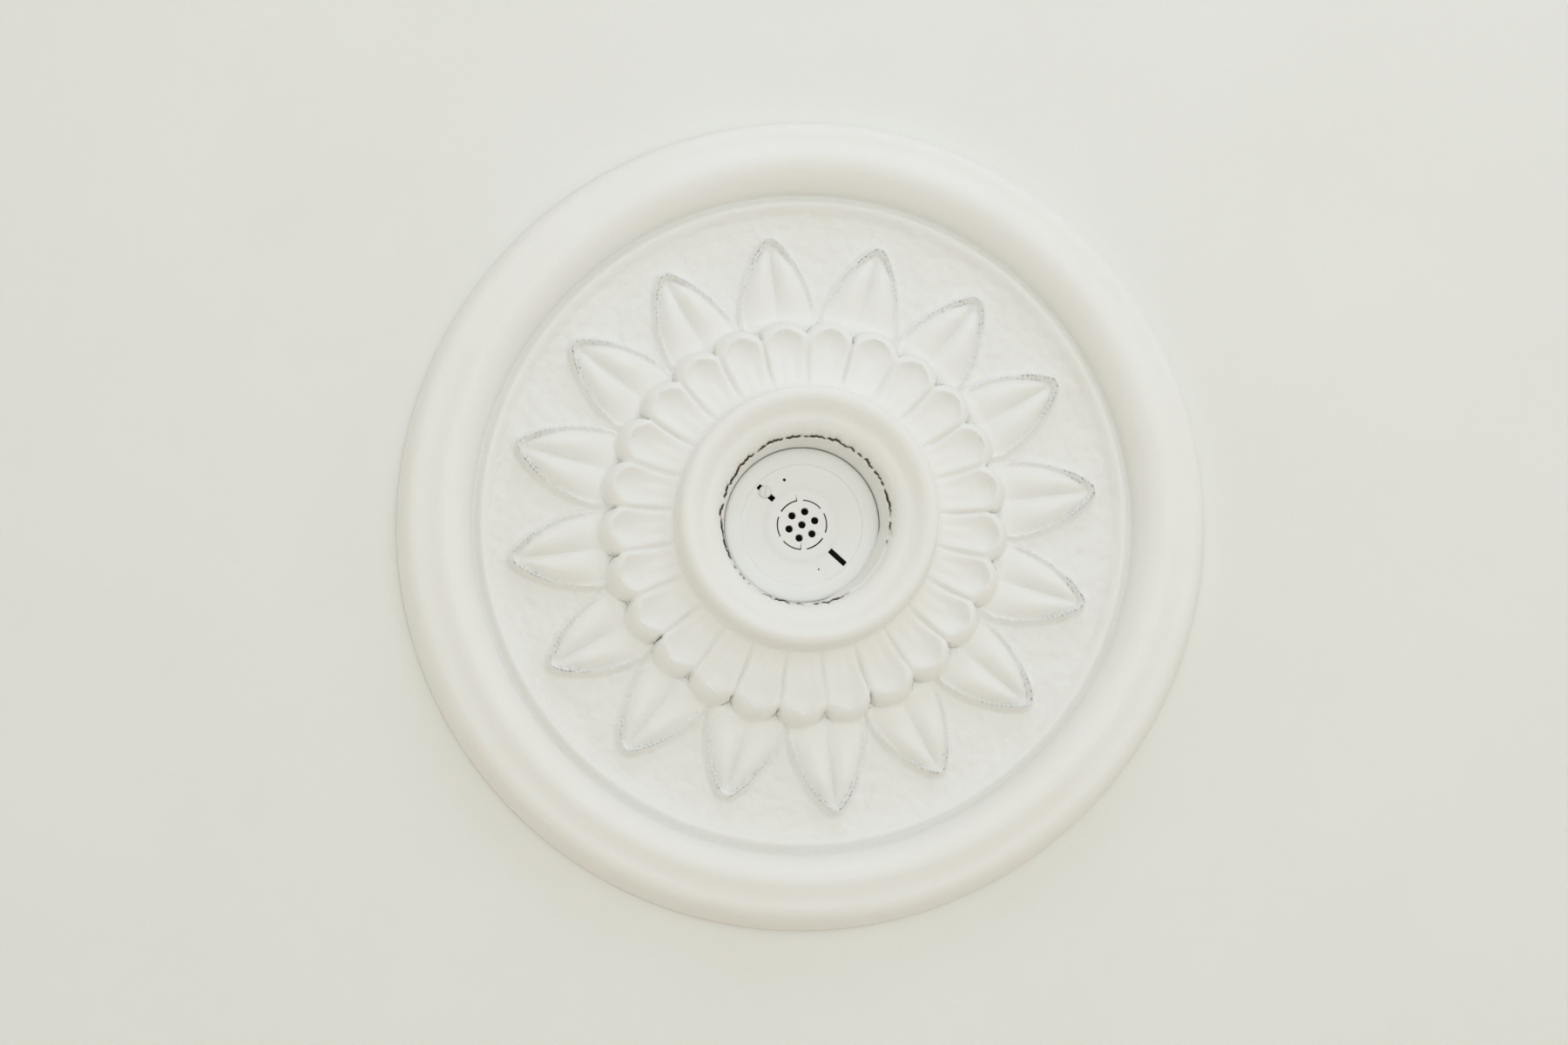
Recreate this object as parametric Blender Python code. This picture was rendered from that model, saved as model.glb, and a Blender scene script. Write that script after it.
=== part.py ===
"""A plaster ceiling rose with a plastic cover plate in its centre, hanging under a ceiling.

The back lies in the plane z = 0, with the origin at its centre, and the relief hangs down towards -Z.
Angles turn clockwise as seen by someone who looks up at the rose, starting from +Y.
"""

from math import asin, cos, degrees, pi, radians, sin, sqrt

import bmesh
import bpy

# Sizes in metres. A height is the distance down from the ceiling.

# Opening in the middle, with the ledge that the cover plate sits on
OPENING_R = 0.0522
LEDGE_W = 0.0070
LEDGE_T = 0.0030

# Central ring, from the opening outwards: a lip, then a wide roll with a step outside it
LIP_W = 0.0110
LIP_H = 0.0290
SEAT_H = 0.0384
ROLL_IN_W = 0.0125
ROLL_H = 0.0460
ROLL_OUT_W = 0.0045
ROLL_EDGE_H = 0.0422
STEP_W = 0.0045
STEP_FOOT_H = 0.0280

# Petals round the ring. The shares say where the carving lies across half of a petal.
PETALS = 25
FIRST_PETAL = 8.0
PETAL_LEN = 0.0410
PETAL_ROOT_H = 0.0288
PETAL_CREST_H = 0.0276
PETAL_TIP_H = 0.0150
PETAL_CREST_BACK = 0.0090
PETAL_TIP_ROUND = 0.0150
PETAL_GAP = 0.0010
PETAL_DIP = 0.0036
PETAL_DIP_LEN = 0.0105
PETAL_SCOOP = 0.0036
PETAL_TUCK = 0.0030
PETAL_TIP_SHARE = 0.40
PETAL_RIDGE_SHARE = 0.84
PETAL_SCOOP_SHARE = 0.45

# Leaves behind the petals. The shares say where the carving lies across half of a leaf.
LEAVES = 16
FIRST_LEAF = 15.8
LEAF_REACH = 0.0550
LEAF_TUCK = 0.0120
LEAF_W = 0.0520
LEAF_TAPER = 0.0550
LEAF_TIP_W = 0.0050
LEAF_EDGE_RISE = 0.0070
LEAF_EDGE_W = 0.0040
LEAF_LOBE_RISE = 0.0109
LEAF_ROOT_RISE = 0.0058
LEAF_SWELL_LEN = 0.0300
LEAF_VEIN_DEPTH = 0.0055
LEAF_LOBE_END = 0.0080
LEAF_GROOVE_RISE = 0.0019
LEAF_FOOT_RISE = 0.0015
LEAF_EDGE_SHARE = 0.45
LEAF_EDGE_MOST = 0.70
LEAF_GROOVE_SHARE = 0.93
LEAF_LOBE_SHARE = 0.55

# Field that the leaves lie on
FIELD_W = 0.0215
FIELD_H = 0.0064
FIELD_RISE = 0.0013
FIELD_FLAT_W = 0.0060

# Outer mouldings, from the field outwards
FILLET_W = 0.0030
FILLET_RISE = 0.0062
CHANNEL_W = 0.0020
CHANNEL_H = 0.0112
TORUS_IN_W = 0.0198
TORUS_OUT_W = 0.0120
TORUS_H = 0.0294
VALLEY_W = 0.0040
VALLEY_H = 0.0243
BEAD_W = 0.0130
BEAD_RISE = 0.0008
EDGE_H = 0.0115

# How deep the leaves and petals reach into the turned body, above the field
ROOT_H = 0.0032

# Cover plate. Its raised band starts just outside the screw's head.
PLATE_GAP = 0.0032
PLATE_SEAT_GAP = 0.0003
PLATE_WALL = 0.0016
PLATE_RIM_H = 0.0020
PLATE_H = 0.0062
PLATE_BAND_GAP = 0.0028
PLATE_STEP = 0.0008
BOSS_R = 0.0226
BOSS_RISE = 0.0012
BOSS_SLOPE_W = 0.0020
HOLE_R = 0.0024
HOLE_RING_R = 0.0085
HOLES_ROUND = 6
FIRST_HOLE = 12.0
ARC_R = 0.0155
ARC_W = 0.0009
ARC_SPAN = 46.5
SLOT_IN_R = 0.0237
SLOT_LEN = 0.0132
SLOT_W = 0.0036
SLOT_ANGLE = 132.0
PINHOLES = ((339.0, 0.0306, 0.0010), (159.0, 0.0299, 0.0007))

# Screw in the slot across from the open one
SCREW_R = 0.0312
SCREW_HEAD_R = 0.0040
SCREW_HEAD_H = 0.0020
SCREW_SHANK_R = 0.0014
SCREW_GAP = 0.0003
SCREW_BACK_GAP = 0.0005
SCREW_DRIVE_W = 0.0009
SCREW_DRIVE_DEPTH = 0.0010

# Steps of round shapes
TURN_STEPS = 48
PLATE_STEPS = 28
HOLE_STEPS = 8
SCREW_STEPS = 12
ARC_STEPS = 2

# Radii that follow from the sizes
LIP_R = OPENING_R + LIP_W
ROLL_R = LIP_R + ROLL_IN_W
ROLL_OUT_R = ROLL_R + ROLL_OUT_W
STEP_R = ROLL_OUT_R + STEP_W
PETAL_TIP_R = STEP_R + PETAL_LEN
LEAF_TIP_R = PETAL_TIP_R + LEAF_REACH
FILLET_R = LEAF_TIP_R + FIELD_W
CHANNEL_R = FILLET_R + FILLET_W
TORUS_IN_R = CHANNEL_R + CHANNEL_W
TORUS_CREST_R = TORUS_IN_R + TORUS_IN_W
TORUS_OUT_R = TORUS_CREST_R + TORUS_OUT_W
BEAD_R = TORUS_OUT_R + VALLEY_W
ROSE_R = BEAD_R + BEAD_W
PLATE_R = OPENING_R - PLATE_GAP
PLATE_BAND_R = SCREW_R + SCREW_HEAD_R + PLATE_BAND_GAP
PLATE_SEAT_H = LEDGE_T + PLATE_SEAT_GAP


for startup_object in list(bpy.data.objects):
    bpy.data.objects.remove(startup_object)


def material(name, colour, roughness):
    """A Principled material of one plain colour."""
    made = bpy.data.materials.new(name)
    made.use_nodes = True
    shader = made.node_tree.nodes["Principled BSDF"]
    shader.inputs["Base Color"].default_value = (*colour, 1.0)
    shader.inputs["Roughness"].default_value = roughness
    shader.inputs["Metallic"].default_value = 0.0
    return made


def place(r, angle, height):
    """The point at a radius, an angle in degrees and a height below the ceiling."""
    return (-r * sin(radians(angle)), r * cos(radians(angle)), -height)


def arc(centre, radii, start, end, steps):
    """Points (radius, height) on an elliptic arc, its angles in degrees from the outward direction."""
    turns = [radians(start + (end - start) * i / steps) for i in range(steps + 1)]
    return [(centre[0] + radii[0] * cos(t), centre[1] + radii[1] * sin(t)) for t in turns]


def new_object(name, mesh, look=None, sharp=40):
    """An object of this mesh, shaded smooth but for the edges sharper than the angle."""
    made = bpy.data.objects.new(name, mesh)
    bpy.context.scene.collection.objects.link(made)
    if look:
        mesh.materials.append(look)
    mesh.shade_smooth()
    mesh.set_sharp_from_angle(angle=radians(sharp))
    return made


def mesh_from(name, points, faces):
    """A mesh of these points and faces, closed, with its faces turned outwards."""
    shape = bmesh.new()
    verts = [shape.verts.new(p) for p in points]
    for face in faces:
        shape.faces.new([verts[i] for i in face])
    bmesh.ops.recalc_face_normals(shape, faces=shape.faces)
    mesh = bpy.data.meshes.new(name)
    shape.to_mesh(mesh)
    shape.free()
    return mesh


def turned(name, profile, steps):
    """A closed profile of (radius, height) points, turned once round the rose's axis."""
    count = len(profile)
    points = [place(r, 360 * i / steps, h) for i in range(steps) for r, h in profile]
    faces = []
    for i in range(steps):
        here, there = i * count, (i + 1) % steps * count
        for j in range(count):
            k = (j + 1) % count
            faces.append((here + j, here + k, there + k, there + j))
    return mesh_from(name, points, faces)


def sheet_solid(name, rows, root_h):
    """A closed solid: rows of (radius, offset, height) points, and a flat side towards the ceiling."""
    across = len(rows[0])
    points = [(-x, r, -h) for row in rows for r, x, h in row]
    points += [(-x, r, -root_h) for row in rows for r, x, h in row]
    under = len(rows) * across
    faces = []
    for i in range(len(rows) - 1):
        for j in range(across - 1):
            a = i * across + j
            face = (a, a + 1, a + across + 1, a + across)
            faces += [face, tuple(under + k for k in reversed(face))]
    edge = list(range(across))
    edge += [i * across + across - 1 for i in range(1, len(rows))]
    edge += [(len(rows) - 1) * across + j for j in range(across - 2, -1, -1)]
    edge += [i * across for i in range(len(rows) - 2, 0, -1)]
    for here, there in zip(edge, edge[1:] + edge[:1]):
        faces.append((there, here, under + here, under + there))
    return mesh_from(name, points, faces)


def casting_profile():
    """The turned body of the rose as (radius, height) points, from its back round to the opening."""
    points = [(OPENING_R - LEDGE_W, 0.0), (ROSE_R, 0.0)]
    points += arc((BEAD_R, EDGE_H), (BEAD_W, VALLEY_H + BEAD_RISE - EDGE_H), 0, 90, 3)
    points += [(TORUS_OUT_R, VALLEY_H)]
    points += arc((TORUS_CREST_R, VALLEY_H), (TORUS_OUT_W, TORUS_H - VALLEY_H), 45, 90, 1)
    points += arc((TORUS_CREST_R, CHANNEL_H), (TORUS_IN_W, TORUS_H - CHANNEL_H), 120, 180, 2)
    points += [(CHANNEL_R, CHANNEL_H), (FILLET_R, FIELD_H + FILLET_RISE)]
    points += [(LEAF_TIP_R + FIELD_FLAT_W, FIELD_H), (PETAL_TIP_R, FIELD_H + FIELD_RISE)]
    points += [(STEP_R, STEP_FOOT_H)]
    points += arc((ROLL_R, ROLL_EDGE_H), (ROLL_OUT_W, ROLL_H - ROLL_EDGE_H), 0, 90, 2)
    points += arc((ROLL_R, SEAT_H), (ROLL_IN_W, ROLL_H - SEAT_H), 130, 180, 2)
    points += arc((LIP_R, LIP_H), (LIP_W, SEAT_H - LIP_H), 120, 180, 2)
    points += [(OPENING_R, LEDGE_T), (OPENING_R - LEDGE_W, LEDGE_T)]
    return points


def field_height(r):
    """How far the turned body hangs down under the leaves at a radius."""
    share = (LEAF_TIP_R - r) / (LEAF_TIP_R - PETAL_TIP_R)
    return FIELD_H + FIELD_RISE * min(max(share, 0.0), 1.0)


def leaf_half_width(r):
    """Half of a leaf's width: two arcs that meet in the blunt tip."""
    half = LEAF_W / 2
    from_tip = min(LEAF_TIP_R - r, LEAF_TAPER)
    bow = (LEAF_TAPER**2 + half**2) / (2 * half)
    width = sqrt(bow**2 - (LEAF_TAPER - from_tip) ** 2) - (bow - half)
    return min(LEAF_TIP_W / 2 + width * (1 - LEAF_TIP_W / LEAF_W), r * sin(pi / LEAVES))


def leaf_row(r):
    """One row across a leaf: raised edge, groove, lobe, vein, lobe, groove and raised edge."""
    half = leaf_half_width(r)
    base = field_height(r)
    edge_w = min(LEAF_EDGE_W, half * LEAF_EDGE_MOST)
    groove = (half - edge_w) * LEAF_GROOVE_SHARE
    lift = min((r - PETAL_TIP_R) / LEAF_SWELL_LEN, 1.0)
    full = LEAF_ROOT_RISE + (LEAF_LOBE_RISE - LEAF_ROOT_RISE) * max(lift, 0.0)
    fade = (LEAF_TIP_R - LEAF_LOBE_END - r) / (LEAF_LOBE_END * 2)
    swell = sin(min(max(fade, 0.0), 1.0) * pi / 2)
    lobe = LEAF_GROOVE_RISE + (full - LEAF_GROOVE_RISE) * swell
    vein = lobe - LEAF_VEIN_DEPTH * swell
    side = [(half, LEAF_FOOT_RISE), (half - edge_w * LEAF_EDGE_SHARE, LEAF_EDGE_RISE)]
    side += [(groove, LEAF_GROOVE_RISE), (groove * LEAF_LOBE_SHARE, lobe)]
    row = [(r, -x, base + h) for x, h in side] + [(r, 0.0, base + vein)]
    return row + [(r, x, base + h) for x, h in reversed(side)]


def leaf_mesh():
    """One leaf, pointing along +Y."""
    root_r = PETAL_TIP_R - LEAF_TUCK
    lobe_end_r = LEAF_TIP_R - LEAF_LOBE_END
    rows = [leaf_row(root_r + (lobe_end_r - root_r) * sin(pi / 2 * i / 4)) for i in range(5)]
    rows += [leaf_row(LEAF_TIP_R - LEAF_LOBE_END / 2), leaf_row(LEAF_TIP_R)]
    return sheet_solid("leaf", rows, FIELD_H - ROOT_H)


def petal_half_width(r):
    """Half of a petal's width: it fills its share of the ring, then closes in a round tip."""
    full = r * sin(pi / PETALS) - PETAL_GAP / 2
    from_tip = PETAL_TIP_R - r
    if from_tip >= PETAL_TIP_ROUND:
        return full
    share = 1 - from_tip / PETAL_TIP_ROUND
    return full * max(sqrt(max(1 - share**2, 0.0)), PETAL_TIP_SHARE)


def petal_height(r):
    """The height along a petal's raised sides: a dip by the ring, a rise to the crest and the tip."""
    dip_r = STEP_R + PETAL_DIP_LEN
    crest_r = PETAL_TIP_R - PETAL_CREST_BACK
    if r < dip_r:
        return PETAL_ROOT_H - PETAL_DIP * (1 - ((dip_r - r) / PETAL_DIP_LEN) ** 2)
    if r < crest_r:
        share = (r - dip_r) / (crest_r - dip_r)
        low = PETAL_ROOT_H - PETAL_DIP
        return low + (PETAL_CREST_H - low) * (1 - cos(share * pi)) / 2
    share = (r - crest_r) / PETAL_CREST_BACK
    return PETAL_CREST_H - (PETAL_CREST_H - PETAL_TIP_H) * (1 - sqrt(max(1 - share**2, 0.0)))


def petal_row(r):
    """One row across a petal: side, raised edge, scooped middle, raised edge and side."""
    half = petal_half_width(r)
    top = petal_height(r)
    crest_r = PETAL_TIP_R - PETAL_CREST_BACK
    scoop = PETAL_SCOOP * min(max((crest_r - r) / PETAL_CREST_BACK, 0.0), 1.0)
    side = [(half, top - PETAL_SCOOP), (half * PETAL_RIDGE_SHARE, top)]
    side += [(half * PETAL_SCOOP_SHARE, top - scoop)]
    row = [(r, -x, h) for x, h in side] + [(r, 0.0, top - scoop)]
    return row + [(r, x, h) for x, h in reversed(side)]


def petal_mesh():
    """One petal, pointing along +Y."""
    dip_r = STEP_R + PETAL_DIP_LEN
    crest_r = PETAL_TIP_R - PETAL_CREST_BACK
    rows = [petal_row(STEP_R - PETAL_TUCK)]
    rows += [petal_row(dip_r + (crest_r - dip_r) * i / 3) for i in range(4)]
    rows += [petal_row(crest_r + PETAL_CREST_BACK * i / 2) for i in (1, 2)]
    return sheet_solid("petal", rows, FIELD_H - ROOT_H)


def round_the_axis(name, mesh, count, first, group):
    """Guides turned round the rose's axis at even steps, each with its own copy of the mesh."""
    for i in range(count):
        copy = new_object(f"{name}_{i + 1}", mesh.copy())
        copy.rotation_euler.z = radians(first + 360 / count * i)
        copy.hide_render = True
        copy.display_type = "WIRE"
        bpy.context.scene.collection.objects.unlink(copy)
        group.objects.link(copy)


def make_rose(look):
    """The casting: a turned body with the leaves and petals grown into it."""
    body = new_object("rose", turned("rose", casting_profile(), TURN_STEPS), look)
    group = bpy.data.collections.new("leaves and petals")
    group.hide_render = True
    bpy.context.scene.collection.children.link(group)
    round_the_axis("leaf", leaf_mesh(), LEAVES, FIRST_LEAF, group)
    round_the_axis("petal", petal_mesh(), PETALS, FIRST_PETAL, group)
    union = body.modifiers.new("join the leaves and petals", "BOOLEAN")
    union.operation = "UNION"
    union.solver = "EXACT"
    union.operand_type = "COLLECTION"
    union.collection = group
    return body


def plate_profile():
    """The cover plate as a closed profile: its face from the centre out, and its hollow back."""
    face_h = PLATE_SEAT_H + PLATE_H
    band_w = PLATE_R - PLATE_BAND_R
    rim_h = PLATE_SEAT_H + PLATE_RIM_H
    face = [(BOSS_R - BOSS_SLOPE_W, face_h + BOSS_RISE - PLATE_STEP), (BOSS_R, face_h - PLATE_STEP)]
    face += [(PLATE_BAND_R - PLATE_STEP, face_h - PLATE_STEP), (PLATE_BAND_R, face_h)]
    face += arc((PLATE_BAND_R, rim_h), (band_w, face_h - rim_h), 67.5, 0, 3)
    face += [(PLATE_R, PLATE_SEAT_H), (PLATE_R - PLATE_WALL, PLATE_SEAT_H)]
    hollow = (band_w - PLATE_WALL, face_h - rim_h - PLATE_WALL)
    back = arc((PLATE_BAND_R, rim_h), hollow, 0, 60, 2)
    inner_h = face_h - PLATE_STEP - PLATE_WALL
    back += [(PLATE_BAND_R - PLATE_STEP, inner_h), (BOSS_R - BOSS_SLOPE_W, inner_h)]
    return face, back


def plate_mesh():
    """The cover plate without its holes, closed over the centre."""
    face, back = plate_profile()
    count = len(face) + len(back)
    points = [place(r, 360 * i / PLATE_STEPS, h) for i in range(PLATE_STEPS) for r, h in face + back]
    faces = [[i * count for i in range(PLATE_STEPS)]]
    faces += [[i * count + count - 1 for i in range(PLATE_STEPS)]]
    for i in range(PLATE_STEPS):
        here, there = i * count, (i + 1) % PLATE_STEPS * count
        for j in range(count - 1):
            faces.append((here + j, here + j + 1, there + j + 1, there + j))
    return mesh_from("cover_plate", points, faces)


def prism(shape, outline, low, high):
    """Adds an upright prism to a bmesh, from its outline of (x, y) points."""
    ends = [[shape.verts.new((x, y, -h)) for x, y in outline] for h in (low, high)]
    for ring in ends:
        shape.faces.new(ring)
    for i in range(len(outline)):
        k = (i + 1) % len(outline)
        shape.faces.new((ends[0][i], ends[0][k], ends[1][k], ends[1][i]))


def round_outline(r, angle, hole_r):
    """A round hole's outline, its centre at a radius and an angle."""
    x, y, _ = place(r, angle, 0)
    turns = [2 * pi * i / HOLE_STEPS for i in range(HOLE_STEPS)]
    return [(x + hole_r * cos(t), y + hole_r * sin(t)) for t in turns]


def arc_outline(angle):
    """The outline of one thin arc slot, centred on an angle."""
    turns = [angle + ARC_SPAN * (i / ARC_STEPS - 0.5) for i in range(ARC_STEPS + 1)]
    outer = [place(ARC_R + ARC_W / 2, t, 0)[:2] for t in turns]
    return outer + [place(ARC_R - ARC_W / 2, t, 0)[:2] for t in reversed(turns)]


def slot_outline(angle):
    """The outline of a straight slot that runs outwards at an angle."""
    corners = []
    for r, side in ((0, -1), (0, 1), (SLOT_LEN, 1), (SLOT_LEN, -1)):
        turn = degrees(asin(side * SLOT_W / 2 / (SLOT_IN_R + r)))
        corners.append(place(SLOT_IN_R + r, angle + turn, 0)[:2])
    return corners


def plate_cutter():
    """One guide that holds every hole of the cover plate."""
    low, high = 0.0, PLATE_SEAT_H + PLATE_H + BOSS_RISE + PLATE_WALL
    shape = bmesh.new()
    prism(shape, round_outline(0, 0, HOLE_R), low, high)
    for i in range(HOLES_ROUND):
        turn = FIRST_HOLE + 360 / HOLES_ROUND * i
        prism(shape, round_outline(HOLE_RING_R, turn, HOLE_R), low, high)
        prism(shape, arc_outline(turn), low, high)
    for angle in (SLOT_ANGLE, SLOT_ANGLE + 180):
        prism(shape, slot_outline(angle), low, high)
    for angle, r, hole_r in PINHOLES:
        prism(shape, round_outline(r, angle, hole_r), low, high)
    bmesh.ops.recalc_face_normals(shape, faces=shape.faces)
    mesh = bpy.data.meshes.new("plate_holes")
    shape.to_mesh(mesh)
    shape.free()
    cutter = new_object("plate_holes", mesh)
    cutter.hide_render = True
    cutter.display_type = "WIRE"
    return cutter


def cut(body, cutter):
    """Cuts the guide's shape out of the body."""
    difference = body.modifiers.new("cut " + cutter.name, "BOOLEAN")
    difference.operation = "DIFFERENCE"
    difference.solver = "EXACT"
    difference.object = cutter


def make_cover_plate(look):
    """The hollow plastic plate with its holes."""
    plate = new_object("cover_plate", plate_mesh(), look)
    cut(plate, plate_cutter())
    return plate


def make_plate_screw(look):
    """The screw: a domed head on the plate's face, a shank through its slot and a straight drive slot."""
    head_h = PLATE_SEAT_H + PLATE_H - PLATE_STEP + SCREW_GAP
    top_h = head_h + SCREW_HEAD_H
    bm = bmesh.new()
    rings = [(SCREW_SHANK_R, SCREW_BACK_GAP), (SCREW_SHANK_R, head_h), (SCREW_HEAD_R, head_h)]
    rings += arc((0.0, head_h), (SCREW_HEAD_R, SCREW_HEAD_H), 20, 70, 2)
    loops = []
    for r, h in rings:
        turns = [2 * pi * i / SCREW_STEPS for i in range(SCREW_STEPS)]
        loops.append([bm.verts.new((r * cos(t), r * sin(t), -h)) for t in turns])
    for here, there in zip(loops, loops[1:]):
        for i in range(SCREW_STEPS):
            k = (i + 1) % SCREW_STEPS
            bm.faces.new((here[i], here[k], there[k], there[i]))
    bm.faces.new(loops[0])
    bm.faces.new(loops[-1])
    bmesh.ops.recalc_face_normals(bm, faces=bm.faces)
    mesh = bpy.data.meshes.new("plate_screw")
    bm.to_mesh(mesh)
    bm.free()
    screw = new_object("plate_screw", mesh, look)
    screw.location = place(SCREW_R, SLOT_ANGLE + 180, 0)

    half = (SCREW_HEAD_R + SCREW_GAP, SCREW_DRIVE_W / 2)
    outline = [(half[0] * x, half[1] * y) for x, y in ((-1, -1), (1, -1), (1, 1), (-1, 1))]
    bm = bmesh.new()
    prism(bm, outline, top_h - SCREW_DRIVE_DEPTH, top_h + SCREW_GAP)
    bmesh.ops.recalc_face_normals(bm, faces=bm.faces)
    mesh = bpy.data.meshes.new("screw_drive")
    bm.to_mesh(mesh)
    bm.free()
    drive = new_object("screw_drive", mesh)
    drive.location = screw.location
    drive.hide_render = True
    drive.display_type = "WIRE"
    cut(screw, drive)
    return screw


plaster = material("painted plaster", (0.78, 0.77, 0.72), 0.75)
plastic = material("white plastic", (0.80, 0.80, 0.76), 0.40)
painted_steel = material("painted steel", (0.80, 0.80, 0.77), 0.45)

make_rose(plaster)
make_cover_plate(plastic)
make_plate_screw(painted_steel)
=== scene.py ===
# Plaster ceiling rose with its cover plate, seen from below.
# The back lies at z = 0 and the relief hangs down.
# Lengths are in millimetres up to the last step of each piece, and the stage's are in metres.
import math

import bpy
import numpy as np
from mathutils import Matrix, Vector


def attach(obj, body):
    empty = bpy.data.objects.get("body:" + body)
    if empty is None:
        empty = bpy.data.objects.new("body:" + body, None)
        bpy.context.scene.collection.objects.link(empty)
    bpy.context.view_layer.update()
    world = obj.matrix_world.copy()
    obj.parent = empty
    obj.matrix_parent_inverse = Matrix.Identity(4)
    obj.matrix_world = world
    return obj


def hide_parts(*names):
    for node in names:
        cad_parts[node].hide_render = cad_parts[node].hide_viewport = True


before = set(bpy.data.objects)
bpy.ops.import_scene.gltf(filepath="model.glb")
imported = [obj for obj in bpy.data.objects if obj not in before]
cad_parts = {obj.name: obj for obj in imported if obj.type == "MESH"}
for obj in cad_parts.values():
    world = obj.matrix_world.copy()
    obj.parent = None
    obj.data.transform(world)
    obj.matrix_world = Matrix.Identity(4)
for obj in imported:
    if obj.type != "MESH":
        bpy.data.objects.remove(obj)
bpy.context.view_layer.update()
mm = 0.001

# A height is counted down from the ceiling, a turn clockwise from +Y as seen from below.
rose = {
    "columns": 640,
    "triangles": 194000,
    "seed": 7,
    "back": [(255.0, 0.0), (218.0, 0.0), (216.6, 1.2), (214.4, 1.2), (213.0, 0.0),
             (128.0, 0.0), (126.6, 1.2), (124.4, 1.2), (123.0, 0.0),
             (45.7, 0.0), (45.2, 0.5), (45.2, 2.6), (45.6, 3.0), (51.2, 3.0)],
    "wall": [(51.7, 3.6), (51.3, 4.8), (50.0, 6.0), (49.2, 7.6), (49.1, 8.6), (49.7, 13.0), (50.7, 17.6),
             (51.3, 22.2), (51.7, 25.1)],
    "crack": [(52.0, 26.2), (52.45, 26.9), (52.85, 27.2), (53.3, 27.9)],
    "lip": [(53.7, 29.2), (54.6, 31.5), (56.0, 33.9), (58.5, 36.1), (61.0, 37.4), (63.5, 38.1)],
    "roll": [(63.5, 38.1), (65.3, 39.2), (67.2, 41.0), (69.3, 43.1), (72.0, 45.1), (75.3, 45.9), (77.8, 45.0),
             (79.6, 42.6), (80.6, 38.4), (81.2, 33.5), (82.0, 29.2), (83.2, 27.6), (84.2, 27.5)],
    "under": [(84.2, 27.5), (87.0, 25.9), (95.0, 21.0), (110.0, 16.0), (122.0, 12.2), (132.0, 8.6), (150.0, 6.9),
              (170.0, 6.5), (187.0, 6.4)],
    "fillet": [(187.0, 6.4), (191.0, 7.0), (195.0, 8.3), (197.6, 10.8), (199.6, 12.8), (201.4, 13.6),
               (203.0, 12.9), (205.0, 10.9), (206.8, 9.2), (207.5, 9.6), (208.4, 12.6), (210.0, 17.0)],
    "rim": [(210.0, 17.0), (214.0, 23.4), (218.0, 27.1), (222.0, 29.0), (225.5, 29.4), (229.0, 28.6),
            (233.0, 26.8), (237.0, 25.3), (240.5, 24.6), (243.5, 24.1), (246.0, 22.9), (248.5, 20.3),
            (250.6, 16.7), (252.3, 12.3), (253.6, 8.0), (254.6, 4.4), (255.4, 1.9)],
    "edge": [(256.0, 0.6), (256.0, 0.2)],
    "spacing": {"wall": 2.8, "lip": 1.2, "roll": 1.8, "fillet": 0.95, "rim": 2.3},
    "carvedSpacing": 1.36,
    "frontFrom": 3.3,
    "carved": (84.0, 188.0),
    "pits": 1.1,
    "uneven": 0.4,
    # Layers of noise, each as (cell, seed, share)
    "lumps": [(6.5, 21, 0.6), (3.6, 22, 0.5)],
    "waves": [(38.0, 31, 0.6), (17.0, 32, 0.4)],
    "wander": [(90.0, 33, 0.5)],
    "tear": [(3.4, 41, 0.55), (1.2, 42, 0.45)],
    # How far the broken paint goes down, aside and back, and how far the filler comes in
    "crackDepth": 2.6, "tearReach": 1.3, "gapeReach": 0.35, "chipReach": 1.1, "fillerReach": 2.2,
}

leaf = {
    "count": 16, "first": 15.8, "taper": 55.0, "width": 52.0, "tipWidth": 6.0,
    "tips": (181.5, 182.0, 185.5, 187.0, 185.5, 184.5, 181.5, 184.5,
             180.5, 183.5, 184.5, 186.5, 188.0, 185.5, 181.5, 182.5),
    "rimWidth": 3.0, "rimRoot": 3.6, "rimRise": 5.8, "rimTip": 9.0, "rimFall": 2.6,
    "groove": 4.2, "grooveRise": 2.4, "lobeRoot": 2.6, "lobeRise": 8.2, "vein": 0.85,
    "rimGrows": (130, 144), "rimPeaks": (162, 177), "lobeGrows": (127, 151),
    "soft": 0.8, "uneven": 0.08, "lobeSlope": 0.62, "veinFrom": 0.36,
}

petal = {
    "count": 25, "first": 8.0, "tip": 128.4, "tipRound": 15.0,
    "rim": [(84.7, 28.4), (90.0, 26.4), (96.0, 25.4), (104.0, 25.6), (112.0, 26.8), (118.0, 27.5), (123.0, 27.1),
            (129.0, 25.6)],
    "bowl": [(84.7, 0.0), (90.0, 0.5), (98.0, 1.4), (106.0, 3.0), (112.0, 4.4), (129.0, 5.0)],
    "sideDrop": 2.4, "floor": 11.5, "sideRim": 0.80, "tipRim": 0.34, "soft": 0.6, "uneven": 0.6, "flute": 0.28,
    "narrows": (-0.1, 0.55), "deepens": (114, 127), "rounds": (112, 122), "roundness": 2.6, "slope": 1.7,
    "flutesBegin": (85, 88), "flutesEnd": (98, 110),
}

# How far the paint has broken at the opening, as (turn, strength)
cracks = [(0, 0.85), (22, 0.9), (50, 1.0), (63, 1.0), (67, 0.3), (73, 0.75), (84, 0.7), (96, 0.6), (108, 0.3),
          (118, 0.0), (147, 0.0), (152, 0.6), (165, 0.65), (176, 0.35), (190, 0.6), (202, 1.0), (210, 0.7),
          (217, 0.2), (223, 0.6), (240, 0.7), (262, 0.75), (286, 0.9), (305, 1.0), (330, 1.0), (344, 0.75),
          (352, 0.9), (360, 0.85)]


# Shared helpers


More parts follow.
